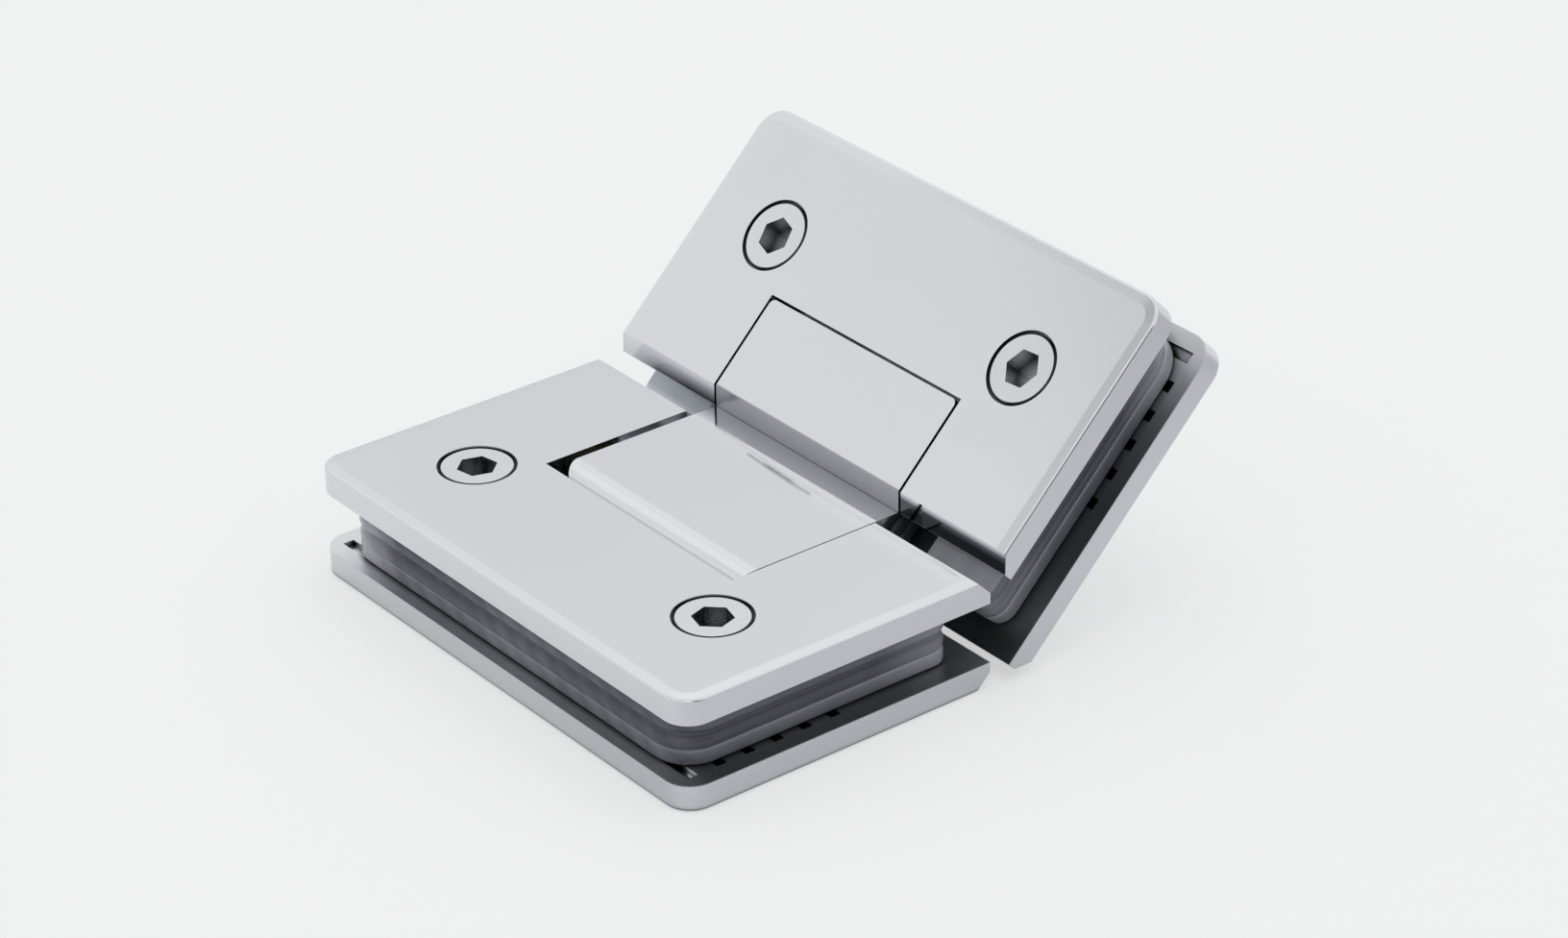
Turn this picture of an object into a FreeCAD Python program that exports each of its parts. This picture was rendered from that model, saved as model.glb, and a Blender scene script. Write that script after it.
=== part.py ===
"""Glass-to-glass door hinge, folded to an inside angle of 135 degrees.

Frame: X runs along the hinge axis, the door leaf lies flat toward -Y with its back face on Z = 0,
and the fixed leaf rises at the fold angle toward +Y. The line Y = 0 is the valley of the front side.
Each leaf is drawn lying flat in its own frame: X along the hinge, Y outward from the hinge-side edge
of its full plates, Z up from the back face. Its placement then turns it into the assembly.
"""
import math
import os

import FreeCAD, Part
import Sketcher

V = FreeCAD.Vector
FULL_TURN = 360
# How far apart two places count as one
NEAR_ZERO = 0.01
# Radius of the ring on which an outline's corners start before the solver moves them
ROUGH_RADIUS = 10

SIZES = {
    "plate_length": 90.0,
    "plate_width": 54.5,
    "plate_thickness": 4.2,
    "corner_radius": 4.2,
    "hinge_chamfer": 2.5,
    "edge_slope": 1.8,
    "edge_drop": 0.12,
    "edge_break": 0.4,
    "fold_angle": 45.0,
    "valley_gap": 2.0,
    "door_float": 0.7,
    "sweep_clearance": 0.5,
    "notch_width": 44.0,
    "notch_depth": 28.5,
    "door_notch_extra": 0.8,
    "notch_side_gap": 0.5,
    "block_end_gap": 1.2,
    "block_rounding": 3.5,
    "tongue_gap": 0.45,
    "tongue_corner": 1.0,
    "back_rounding": 1.2,
    "tail_length": 9.0,
    "tail_boss_gap": 5.0,
    "pad_thickness": 2.4,
    "pad_side_inset": 3.8,
    "pad_outer_inset": 2.4,
    "pad_hinge_inset": 4.0,
    "pad_corner": 6.0,
    "pad_hinge_corner": 3.0,
    "pad_inner_corner": 1.5,
    "pad_rounding": 0.45,
    "pad_seam_rounding": 1.1,
    "door_pad_ear": 5.7,
    "fixed_pad_ear": 14.7,
    "pad_notch_margin": 2.0,
    "tail_margin": 0.5,
    "pad_hole_clearance": 0.2,
    "screw_side_inset": 16.5,
    "screw_notch_gap": 8.1,
    "screw_head": 11.4,
    "screw_shank": 6.0,
    "screw_sink": 0.15,
    "screw_rim": 0.5,
    "screw_bevel": 0.3,
    "screw_socket": 5.4,
    "screw_socket_depth": 3.0,
    "screw_lead": 0.5,
    "head_clearance": 0.3,
    "seat_clearance": 0.05,
    "shank_clearance": 0.3,
    "boss_diameter": 9.0,
    "boss_height": 5.0,
    "thread_clearance": 0.05,
    "boss_floor": 1.2,
    "screw_tip_gap": 0.6,
    "sleeve_wall": 1.2,
    "sleeve_clearance": 0.1,
    "slot_width": 1.8,
    "slot_depth": 0.8,
    "slot_length": 7.0,
    "slot_side_inset": 2.6,
    "slot_outer_inset": 2.6,
    "slot_pitch": 5.0,
    "slot_count": 6,
    "pin_setback": 12.5,
    "pin_diameter": 10.0,
    "pin_square": 6.2,
    "pin_end_inset": 0.5,
    "cam_flats": 8.6,
    "cam_shoulder": 1.2,
    "running_clearance": 0.05,
    "bush_diameter": 13.0,
    "bush_length": 5.0,
    "bush_inset": 0.3,
    "pin_block_side_inset": 11.5,
    "pin_block_front": 6.0,
    "pin_block_rear": 10.5,
    "pin_block_gap": 0.6,
    "small_head": 7.6,
    "small_shank": 4.0,
    "small_length": 9.6,
    "small_socket": 2.5,
    "small_socket_depth": 1.8,
    "pin_block_screw_offset": 7.0,
    "tail_screw_side_inset": 7.0,
    "tail_screw_offset": 4.6,
    "plunger_diameter": 8.0,
    "plunger_length": 7.0,
    "plunger_web": 2.2,
    "detent_lift": 0.7,
    "spring_length": 10.0,
    "spring_wire": 1.0,
    "spring_diameter": 6.6,
    "spring_turns": 5,
    "spring_guide": 2.0,
    "spring_clearance": 0.2,
    "grub_length": 4.0,
    "grub_socket": 4.0,
    "grub_socket_depth": 2.5,
}

# Sizes that follow from the driving ones, as text for the expressions
S = "Sizes."
BLOCK_THICKNESS = "(2 * Sizes.plate_thickness + 4 * Sizes.pad_thickness)"
GAP = "(4 * Sizes.pad_thickness)"
PLATE_TOP = "(Sizes.plate_thickness + 4 * Sizes.pad_thickness)"
WALL = "(Sizes.hinge_chamfer / sin(Sizes.fold_angle))"
FACE_START = ("((" + BLOCK_THICKNESS + " + " + WALL + " - " + BLOCK_THICKNESS
              + " * cos(Sizes.fold_angle)) / sin(Sizes.fold_angle))")
BEND_Y = ("(" + BLOCK_THICKNESS + " * sin(Sizes.fold_angle) - " + FACE_START
          + " * cos(Sizes.fold_angle))")
DOOR_NOTCH = "(Sizes.notch_width + Sizes.door_notch_extra)"
BLOCK_HALF = "(Sizes.notch_width / 2 - Sizes.notch_side_gap)"
SCREW_X = "(Sizes.plate_length / 2 - Sizes.screw_side_inset)"
SCREW_OUT = "(Sizes.notch_depth + Sizes.screw_notch_gap)"
TAIL_HALF = "(" + SCREW_X + " - Sizes.boss_diameter / 2 - Sizes.tail_boss_gap)"
TAIL_SCREW_X = "(" + TAIL_HALF + " - Sizes.tail_screw_side_inset)"
BUSH_FACE = "(" + BLOCK_HALF + " - Sizes.bush_inset)"
BUSH_INNER_END = "(" + BUSH_FACE + " - Sizes.bush_length)"
PLUNGER_X = "(" + BUSH_INNER_END + " - Sizes.plunger_web - Sizes.plunger_diameter / 2)"
PIN_OUT = "(Sizes.notch_depth - Sizes.pin_setback)"
PIN_Y = "(-Sizes.valley_gap - " + PIN_OUT + ")"
PIN_Z = "(" + BLOCK_THICKNESS + " / 2)"
BLOCK_END = "(-Sizes.valley_gap - Sizes.notch_depth + Sizes.block_end_gap)"
TONGUE_END = "(Sizes.notch_depth - Sizes.tongue_gap)"
PLUNGER_FACE = ("(" + PIN_Y + " + Sizes.cam_flats / 2 + Sizes.detent_lift"
                " + Sizes.running_clearance)")
SPRING_START = "(" + PLUNGER_FACE + " + Sizes.plunger_length)"
GRUB_START = "(" + SPRING_START + " + Sizes.spring_length)"
TAIL_SCREW_OUT = "(Sizes.notch_depth + Sizes.tail_screw_offset)"
BLOCK_SCREW_OUT = "(" + PIN_OUT + " + Sizes.pin_block_screw_offset)"
PIN_BLOCK_START = "(" + DOOR_NOTCH + " / 2 + Sizes.pin_block_gap)"
PIN_BLOCK_END = "(Sizes.plate_length / 2 - Sizes.pin_block_side_inset)"
PIN_BLOCK_MIDDLE = "((" + PIN_BLOCK_START + " + " + PIN_BLOCK_END + ") / 2)"

# Circle that the door leaf sweeps past the fixed leaf, and the pin as seen in the fixed leaf's frame
SWEEP = ("(sqrt(" + PIN_OUT + " ^ 2 + (" + BLOCK_THICKNESS + " / 2 - Sizes.hinge_chamfer) ^ 2)"
         " + Sizes.sweep_clearance)")
PIN_LEAF_OUT = ("((" + PIN_Y + " - " + BEND_Y + ") * cos(Sizes.fold_angle) + " + PIN_Z
                + " * sin(Sizes.fold_angle))")
PIN_LEAF_HEIGHT = ("((" + BEND_Y + " - " + PIN_Y + ") * sin(Sizes.fold_angle) + " + PIN_Z
                   + " * cos(Sizes.fold_angle))")

doc = FreeCAD.newDocument("glass_door_hinge")
sheet = doc.addObject("Spreadsheet::Sheet", "Sizes")
for row, (name, number) in enumerate(SIZES.items(), start=1):
    sheet.set("A%d" % row, name)
    sheet.set("B%d" % row, str(number))
    sheet.setAlias("B%d" % row, name)
doc.recompute()

nodes = []


def bind(target, bindings):
    """Ties each property of an object to an expression."""
    for path, expression in bindings.items():
        target.setExpression(path, expression)


def new_body(label):
    """An empty body whose label is the sub-part's name."""
    body = doc.addObject("PartDesign::Body", label)
    body.Label = label
    nodes.append(body)
    return body


def origin_feature(body, role):
    return next(item for item in body.Origin.OriginFeatures if item.Role == role)


def new_sketch(body, name, plane, lift="0"):
    """A sketch on one of the body's own planes, lifted along the plane's normal."""
    sketch = body.newObject("Sketcher::SketchObject", name)
    sketch.AttachmentSupport = [(origin_feature(body, plane), "")]
    sketch.MapMode = "FlatFace"
    sketch.setExpression("AttachmentOffset.Base.z", lift)
    return sketch


def pin_point(sketch, geometry, place, name, x, y):
    """Fixes one point of a sketch at two bound coordinates."""
    for axis, expression in (("X", x), ("Y", y)):
        index = sketch.addConstraint(Sketcher.Constraint("Distance" + axis, -1, 1, geometry, place, 1.0))
        label = name + axis.lower()
        sketch.renameConstraint(index, label)
        sketch.setExpression("Constraints." + label, expression)


def draw_outline(sketch, corners, prefix="p"):
    """A closed outline of straight lines whose corners are bound coordinates."""
    count = len(corners)
    first = len(sketch.Geometry)
    rough = []
    for step in range(count):
        turn = 2 * math.pi * step / count
        rough.append(V(ROUGH_RADIUS * math.cos(turn), ROUGH_RADIUS * math.sin(turn), 0))
    for step in range(count):
        sketch.addGeometry(Part.LineSegment(rough[step], rough[(step + 1) % count]), False)
    for step in range(count):
        following = first + (step + 1) % count
        sketch.addConstraint(Sketcher.Constraint("Coincident", first + step, 2, following, 1))
    for step, (x, y) in enumerate(corners):
        pin_point(sketch, first + step, 1, "%s%d" % (prefix, step), x, y)


def draw_circle(sketch, x, y, radius, prefix="c"):
    """A circle with bound centre and radius."""
    index = sketch.addGeometry(Part.Circle(V(0, 0, 0), V(0, 0, 1), 1.0), False)
    pin_point(sketch, index, 3, prefix, x, y)
    limit = sketch.addConstraint(Sketcher.Constraint("Radius", index, 1.0))
    sketch.renameConstraint(limit, prefix + "r")
    sketch.setExpression("Constraints." + prefix + "r", radius)


def box_corners(x0, x1, y0, y1):
    return [(x0, y0), (x1, y0), (x1, y1), (x0, y1)]


def pad(body, sketch, length, both_ways=False, downward=False):
    feature = body.newObject("PartDesign::Pad", sketch.Name + "_pad")
    feature.Profile = sketch
    feature.setExpression("Length", length)
    feature.SideType = "Symmetric" if both_ways else "One side"
    feature.Reversed = downward
    return finish(feature)


def pocket(body, sketch, length, both_ways=False, upward=False):
    feature = body.newObject("PartDesign::Pocket", sketch.Name + "_pocket")
    feature.Profile = sketch
    feature.setExpression("Length", length)
    feature.SideType = "Symmetric" if both_ways else "One side"
    feature.Reversed = upward
    finish(feature)
    if feature.Shape.Volume > feature.BaseFeature.Shape.Volume - 0.01:
        raise RuntimeError(feature.Label + " cuts nothing")
    return feature


def finish(feature):
    """Recomputes and stops if the feature went wrong."""
    doc.recompute()
    if "Invalid" in feature.State or "Error" in feature.State:
        raise RuntimeError(feature.Label + ": " + str(feature.State))
    return feature


def turn_profile(body, sketch, cut=False):
    """Revolves a sketch about its own vertical axis."""
    kind = "PartDesign::Groove" if cut else "PartDesign::Revolution"
    feature = body.newObject(kind, sketch.Name + ("_groove" if cut else "_turned"))
    feature.Profile = sketch
    feature.ReferenceAxis = (sketch, ["V_Axis"])
    feature.Angle = FULL_TURN
    return finish(feature)


def mirror(body, feature, plane="YZ_Plane"):
    copy = body.newObject("PartDesign::Mirrored", feature.Name + "_mirrored")
    copy.Originals = [feature]
    copy.MirrorPlane = (origin_feature(body, plane), [""])
    body.Tip = copy
    return finish(copy)


def repeat(body, feature, axis, length, count, backward=False):
    copies = body.newObject("PartDesign::LinearPattern", feature.Name + "_row")
    copies.Originals = [feature]
    copies.Direction = (origin_feature(body, axis), [""])
    copies.Reversed = backward
    copies.setExpression("Length", length)
    copies.setExpression("Occurrences", count)
    body.Tip = copies
    return finish(copies)


def edge_names(shape, test):
    return ["Edge%d" % (index + 1) for index, edge in enumerate(shape.Edges) if test(edge)]


def dress(body, kind, test, size):
    """Rounds or chamfers the edges that pass the test."""
    base = body.Tip
    feature = body.newObject("PartDesign::" + kind, base.Name + "_" + kind.lower())
    feature.Base = (base, edge_names(base.Shape, test))
    feature.setExpression("Radius" if kind == "Fillet" else "Size", size)
    return finish(feature)


def slope_off(body, test, width, drop):
    """Lowers a face towards the edges that pass the test, by a wide and very flat chamfer."""
    base = body.Tip
    feature = body.newObject("PartDesign::Chamfer", base.Name + "_slope")
    feature.Base = (base, edge_names(base.Shape, test))
    feature.ChamferType = "Two distances"
    bind(feature, {"Size": drop, "Size2": width})
    return finish(feature)


def middle(edge):
    return edge.valueAt((edge.FirstParameter + edge.LastParameter) / 2)


def is_upright(edge):
    return abs(edge.tangentAt(edge.FirstParameter).z) > 0.99 and isinstance(edge.Curve, Part.Line)


def near(one, other):
    return abs(one - other) < NEAR_ZERO


def place_on_fixed_leaf(piece):
    """Turns a piece drawn in the flat leaf frame up into the fixed leaf."""
    piece.Placement = FreeCAD.Placement(V(0, 0, 0), FreeCAD.Rotation(V(1, 0, 0), SIZES["fold_angle"]))
    bind(piece, {"Placement.Base.y": BEND_Y, "Placement.Rotation.Angle": S + "fold_angle"})


def place_on_door_leaf(piece):
    """Turns a piece drawn in the flat leaf frame about into the door leaf."""
    piece.Placement = FreeCAD.Placement(V(0, 0, 0), FreeCAD.Rotation(V(0, 0, 1), 180))
    bind(piece, {"Placement.Base.x": "-" + S + "door_float", "Placement.Base.y": "-" + S + "valley_gap"})


# Plates

def plate_outline(notch, start):
    """Rectangle with a notch open to the hinge side."""
    half = S + "plate_length / 2"
    return [("-" + half, start), ("-" + notch + " / 2", start),
            ("-" + notch + " / 2", S + "notch_depth"), (notch + " / 2", S + "notch_depth"),
            (notch + " / 2", start), (half, start),
            (half, S + "plate_width"), ("-" + half, S + "plate_width")]


def shape_plate(body, notch, start, lift, outer_is_top):
    """Pads a plate, rounds its outer corners and chamfers its hinge-side edges.

    Buffing lowers the outer face a little towards its rim, and the rim itself is broken.
    """
    sketch = new_sketch(body, body.Name + "_outline", "XY_Plane", lift)
    draw_outline(sketch, plate_outline(notch, start))
    pad(body, sketch, S + "plate_thickness")
    box = body.Tip.Shape.BoundBox
    face = box.ZMax if outer_is_top else box.ZMin
    dress(body, "Fillet", lambda edge: is_upright(edge) and near(middle(edge).y, box.YMax),
          S + "corner_radius")
    dress(body, "Chamfer", lambda edge: near(middle(edge).y, box.YMin) and near(middle(edge).z, face),
          S + "hinge_chamfer")
    chamfer = SIZES["hinge_chamfer"]
    notch_half = SIZES["notch_width"] / 2 + SIZES["door_notch_extra"]
    notch_end = SIZES["notch_depth"]

    def on_rim(edge, level):
        spot = middle(edge)
        in_notch = abs(spot.x) < notch_half and spot.y < notch_end + NEAR_ZERO
        on_chamfer = spot.y < box.YMin + chamfer + NEAR_ZERO
        return near(spot.z, level) and not in_notch and not on_chamfer

    slope_off(body, lambda edge: on_rim(edge, face), S + "edge_slope", S + "edge_drop")
    rim_level = face + (-1 if outer_is_top else 1) * SIZES["edge_drop"]
    dress(body, "Fillet", lambda edge: on_rim(edge, rim_level), S + "edge_break")


def sink_hole(body, x, out, face, sense, head, shank, name):
    """Countersunk hole. Sense is the direction from the plate's face into the metal, as text."""
    sketch = new_sketch(body, name, "XZ_Plane")
    bind(sketch, {"AttachmentOffset.Base.x": x, "AttachmentOffset.Base.z": "-(" + out + ")"})
    top = S + head + " / 2 + " + S + "head_clearance"
    seat = S + head + " / 2 + " + S + "seat_clearance"
    bottom = S + shank + " / 2 + " + S + "shank_clearance"
    depth = "(" + S + "screw_sink + " + S + "screw_rim)"
    cone = "(" + S + head + " / 2 - " + S + shank + " / 2 - " + S + "shank_clearance)"
    level = face + " " + sense + " "
    draw_outline(sketch, [
        ("0", face), (top, face), (top, level + depth), (seat, level + depth),
        (bottom, level + "(" + depth + " + " + cone + ")"),
        (bottom, level + S + "plate_thickness"), ("0", level + S + "plate_thickness")])
    hole = turn_profile(body, sketch, cut=True)
    mirror(body, hole)


def front_plate(label, notch, start, place):
    body = new_body(label)
    shape_plate(body, notch, start, PLATE_TOP, True)
    sink_hole(body, SCREW_X, SCREW_OUT, BLOCK_THICKNESS, "-",
              "screw_head", "screw_shank", label + "_hole")
    place(body)


def back_plate(label, notch, small_x, small_out, place):
    """Back plate with threaded bosses, inner slots under the pads and two small countersunk holes."""
    body = new_body(label)
    shape_plate(body, notch, "0", "0", False)
    boss = new_sketch(body, label + "_boss", "XY_Plane", S + "plate_thickness")
    draw_circle(boss, SCREW_X, SCREW_OUT, S + "boss_diameter / 2")
    mirror(body, pad(body, boss, S + "boss_height"))
    bore = new_sketch(body, label + "_bore", "XY_Plane",
                      "(" + S + "plate_thickness + " + S + "boss_height)")
    draw_circle(bore, SCREW_X, SCREW_OUT,
                "(" + S + "screw_shank / 2 + " + S + "thread_clearance)")
    depth = "(" + S + "plate_thickness + " + S + "boss_height - " + S + "boss_floor)"
    mirror(body, pocket(body, bore, depth))
    slot = new_sketch(body, label + "_slot", "XY_Plane", S + "plate_thickness")
    outer = "(" + S + "plate_length / 2 - " + S + "slot_side_inset)"
    top = "(" + S + "plate_width - " + S + "slot_outer_inset)"
    for side, sign in (("a", ""), ("b", "-")):
        draw_outline(slot, box_corners(sign + "(" + outer + " - " + S + "slot_length)", sign + outer,
                                       "(" + top + " - " + S + "slot_width)", top), side)
    cut = pocket(body, slot, S + "slot_depth")
    repeat(body, cut, "Y_Axis", "(" + S + "slot_count - 1) * " + S + "slot_pitch",
           S + "slot_count", backward=True)
    sink_hole(body, small_x, small_out, "0", "+", "small_head", "small_shank", label + "_hole")
    place(body)


front_plate("door_front_plate", DOOR_NOTCH, "0", place_on_door_leaf)
back_plate("door_back_plate", DOOR_NOTCH, PIN_BLOCK_MIDDLE, BLOCK_SCREW_OUT, place_on_door_leaf)
front_plate("fixed_front_plate", S + "notch_width", "(" + FACE_START + " - " + S + "hinge_chamfer)",
            place_on_fixed_leaf)
back_plate("fixed_back_plate", S + "notch_width", TAIL_SCREW_X, TAIL_SCREW_OUT,
           place_on_fixed_leaf)


# Gasket pads, four layers between the plates of each leaf

def gasket(label, level, start, ear, deep_notch, place):
    """One soft pad with sleeve holes. Deep notch is the outline's second step, for the body's tail.

    The rims that meet in the middle of the stack, where the glass goes, are rounded the most.
    """
    body = new_body(label)
    lift = "(" + S + "plate_thickness + " + level + " * " + S + "pad_thickness)"
    sketch = new_sketch(body, label + "_outline", "XY_Plane", lift)
    half = "(" + S + "plate_length / 2 - " + S + "pad_side_inset)"
    top = "(" + S + "plate_width - " + S + "pad_outer_inset)"
    inner = "(" + half + " - " + ear + ")"
    step = "(" + S + "notch_depth + " + S + "pad_notch_margin)"
    right = [(inner, start), (inner, step)]
    if deep_notch:
        deep_half = "(" + TAIL_HALF + " + " + S + "tail_margin)"
        deep_end = "(" + S + "notch_depth + " + S + "tail_length + " + S + "tail_margin)"
        right = [(inner, start), (inner, step), (deep_half, step), (deep_half, deep_end)]
    left = [("-" + x, y) for x, y in reversed(right)]
    draw_outline(sketch, [("-" + half, top), ("-" + half, start)] + left[::-1] + right[::-1]
                 + [(half, start), (half, top)])
    hole = "(" + S + "boss_diameter / 2 + " + S + "pad_hole_clearance)"
    draw_circle(sketch, SCREW_X, SCREW_OUT, hole, "a")
    draw_circle(sketch, "-" + SCREW_X, SCREW_OUT, hole, "b")
    pad(body, sketch, S + "pad_thickness")
    box = body.Tip.Shape.BoundBox
    dress(body, "Fillet", lambda edge: is_upright(edge) and near(middle(edge).y, box.YMax),
          S + "pad_corner")
    dress(body, "Fillet", lambda edge: is_upright(edge) and near(middle(edge).y, box.YMin)
          and near(abs(middle(edge).x), box.XMax), S + "pad_hinge_corner")
    dress(body, "Fillet", lambda edge: is_upright(edge) and near(middle(edge).y, box.YMin)
          and abs(middle(edge).x) < box.XMax - NEAR_ZERO, S + "pad_inner_corner")

    def on_rim(edge, height):
        is_hole = isinstance(edge.Curve, Part.Circle) and edge.Closed
        return near(middle(edge).z, height) and not is_hole

    seam = SIZES["plate_thickness"] + 2 * SIZES["pad_thickness"]
    for height in (box.ZMin, box.ZMax):
        size = "pad_seam_rounding" if near(height, seam) else "pad_rounding"
        dress(body, "Fillet", lambda edge: on_rim(edge, height), S + size)
    place(body)


FULL_START = S + "pad_hinge_inset"
SHORT_START = "(" + FACE_START + " - " + S + "hinge_chamfer + " + S + "pad_hinge_inset)"


def fixed_start(level, under_front_plate):
    """Hinge-side edge of a fixed pad, clear of the door leaf's sweep."""
    top = "(" + S + "plate_thickness + (" + level + " + 1) * " + S + "pad_thickness)"
    swept = PIN_LEAF_OUT + " + sqrt(" + SWEEP + " ^ 2 - (" + PIN_LEAF_HEIGHT + " - " + top + ") ^ 2)"
    return "max(" + (SHORT_START if under_front_plate else FULL_START) + "; " + swept + ")"


LAYERS = ("front_gasket", "front_spacer", "back_spacer", "back_gasket")
for layer, name in enumerate(LAYERS):
    level = str(len(LAYERS) - 1 - layer)
    gasket("door_" + name, level, FULL_START, S + "door_pad_ear", False, place_on_door_leaf)
    gasket("fixed_" + name, level, fixed_start(level, layer == 0), S + "fixed_pad_ear", True,
           place_on_fixed_leaf)


# Screws, sleeves and grub screws

def hexagon(flats, turn, x="0", y="0"):
    """Six corners of a hexagon across the given flats, turned by an angle in degrees."""
    corners = []
    for step in range(6):
        angle = "(" + turn + " + %d)" % (60 * step)
        corners.append((x + " + " + flats + " / sqrt(3) * cos(" + angle + ")",
                        y + " + " + flats + " / sqrt(3) * sin(" + angle + ")"))
    return corners


def countersunk_screw(label, x, out, head, shank, tip, socket, turn, place, from_back=False):
    """Screw whose head lies just below the plate's face. Tip is the height where it ends."""
    body = new_body(label)
    face, sense = ("0", "+") if from_back else (BLOCK_THICKNESS, "-")
    top = "(" + face + " " + sense + " " + S + "screw_sink)"
    profile = new_sketch(body, label + "_profile", "XZ_Plane")
    bind(profile, {"AttachmentOffset.Base.x": x, "AttachmentOffset.Base.z": "-(" + out + ")"})
    rim = top + " " + sense + " " + S + "screw_rim"
    cone = "(" + S + head + " - " + S + shank + ") / 2"
    lead = "(" + S + "screw_lead)"
    bevel = S + "screw_bevel"
    draw_outline(profile, [
        ("0", top), (S + head + " / 2 - " + bevel, top),
        (S + head + " / 2", top + " " + sense + " " + bevel), (S + head + " / 2", rim),
        (S + shank + " / 2", rim + " " + sense + " " + cone),
        (S + shank + " / 2", tip + (" - " if from_back else " + ") + lead),
        (S + shank + " / 2 - " + lead, tip), ("0", tip)])
    turn_profile(body, profile)
    recess = new_sketch(body, label + "_socket", "XY_Plane", top)
    draw_outline(recess, hexagon(S + socket, turn, "(" + x + ")", "(" + out + ")"))
    pocket(body, recess, S + socket + "_depth", upward=from_back)
    place(body)


def ring(label, plane, lift, x, y, inner, outer, length, place=None):
    """Plain tube, such as a sleeve or a bush."""
    body = new_body(label)
    sketch = new_sketch(body, label + "_outline", plane, lift)
    draw_circle(sketch, x, y, inner, "a")
    draw_circle(sketch, x, y, outer, "b")
    pad(body, sketch, length)
    if place:
        place(body)


SCREW_TIP = "(" + S + "boss_floor + " + S + "screw_tip_gap)"
SLEEVE_INNER = "(" + S + "screw_shank / 2 + " + S + "sleeve_clearance)"
SOCKET_TURNS = {"door_far": "11", "door_near": "46", "fixed_far": "43", "fixed_near": "4"}
SMALL_TIP = "(" + S + "screw_sink + " + S + "small_length)"
for leaf, place in (("door", place_on_door_leaf), ("fixed", place_on_fixed_leaf)):
    for side in ("near", "far"):
        towards = "-" if (side == "near") == (leaf == "door") else ""
        screw_x = towards + SCREW_X
        countersunk_screw(leaf + "_screw_" + side, screw_x, SCREW_OUT, "screw_head", "screw_shank",
                          SCREW_TIP, "screw_socket", SOCKET_TURNS[leaf + "_" + side], place)
        ring(leaf + "_sleeve_" + side, "XY_Plane", "(" + S + "plate_thickness + " + S + "boss_height)",
             screw_x, SCREW_OUT, SLEEVE_INNER, "(" + SLEEVE_INNER + " + " + S + "sleeve_wall)",
             "(" + GAP + " - " + S + "boss_height)", place)
        small_x, small_out = {"door": (PIN_BLOCK_MIDDLE, BLOCK_SCREW_OUT),
                              "fixed": (TAIL_SCREW_X, TAIL_SCREW_OUT)}[leaf]
        kind = {"door": "pin_block_screw_", "fixed": "tail_screw_"}[leaf]
        countersunk_screw(kind + side, towards + small_x, small_out, "small_head", "small_shank",
                          SMALL_TIP, "small_socket", "0", place, from_back=True)


# Pivot pin and the blocks that hold its square ends in the door leaf

def square(x, y, side):
    return box_corners(x + " - " + side + " / 2", x + " + " + side + " / 2",
                       y + " - " + side + " / 2", y + " + " + side + " / 2")


def pivot_pin():
    body = new_body("pivot_pin")
    shaft = new_sketch(body, "pin_shaft", "YZ_Plane")
    draw_circle(shaft, PIN_OUT, PIN_Z, S + "pin_diameter / 2")
    pad(body, shaft, "2 * " + BLOCK_HALF, both_ways=True)
    flats = new_sketch(body, "pin_flats", "YZ_Plane")
    draw_outline(flats, square(PIN_OUT, PIN_Z, "(" + S + "pin_diameter + 2 * " + S + "cam_flats)"), "a")
    draw_outline(flats, square(PIN_OUT, PIN_Z, S + "cam_flats"), "b")
    pocket(body, flats, "2 * (" + BUSH_INNER_END + " - " + S + "cam_shoulder)", both_ways=True)
    ends = new_sketch(body, "pin_ends", "YZ_Plane")
    draw_outline(ends, square(PIN_OUT, PIN_Z, S + "pin_square"))
    pad(body, ends, "2 * (" + PIN_BLOCK_END + " - " + S + "pin_end_inset)", both_ways=True)
    place_on_door_leaf(body)


def pin_block(side, sign):
    """Brass block clamped between the door plates, broached for the pin's square end."""
    body = new_body("pin_block_" + side)
    outline = new_sketch(body, "pin_block_%s_outline" % side, "XY_Plane", S + "plate_thickness")
    front = PIN_OUT + " - " + S + "pin_block_front"
    rear = PIN_OUT + " + " + S + "pin_block_rear"
    draw_outline(outline, box_corners(sign + PIN_BLOCK_START, sign + PIN_BLOCK_END, front, rear))
    pad(body, outline, GAP)
    broach = new_sketch(body, "pin_block_%s_broach" % side, "YZ_Plane")
    draw_outline(broach, square(PIN_OUT, PIN_Z, "(" + S + "pin_square + 2 * " + S + "seat_clearance)"))
    pocket(body, broach, S + "plate_length", both_ways=True)
    thread = new_sketch(body, "pin_block_%s_thread" % side, "XY_Plane",
                        "(" + SMALL_TIP + " + " + S + "screw_tip_gap)")
    draw_circle(thread, sign + PIN_BLOCK_MIDDLE, BLOCK_SCREW_OUT,
                S + "small_shank / 2 + " + S + "thread_clearance")
    pocket(body, thread, S + "small_length")
    place_on_door_leaf(body)


pivot_pin()
pin_block("near", "-")
pin_block("far", "")


# Hinge body: bent block with a tongue in the fixed leaf and a tail clamped between its plates

def leaf_point(out, height):
    """World Y and Z of a point of the fixed leaf, given in its flat frame."""
    y = "(" + BEND_Y + " + " + out + " * cos(Sizes.fold_angle) - " + height + " * sin(Sizes.fold_angle))"
    z = "(" + out + " * sin(Sizes.fold_angle) + " + height + " * cos(Sizes.fold_angle))"
    return (y, z)


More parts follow.
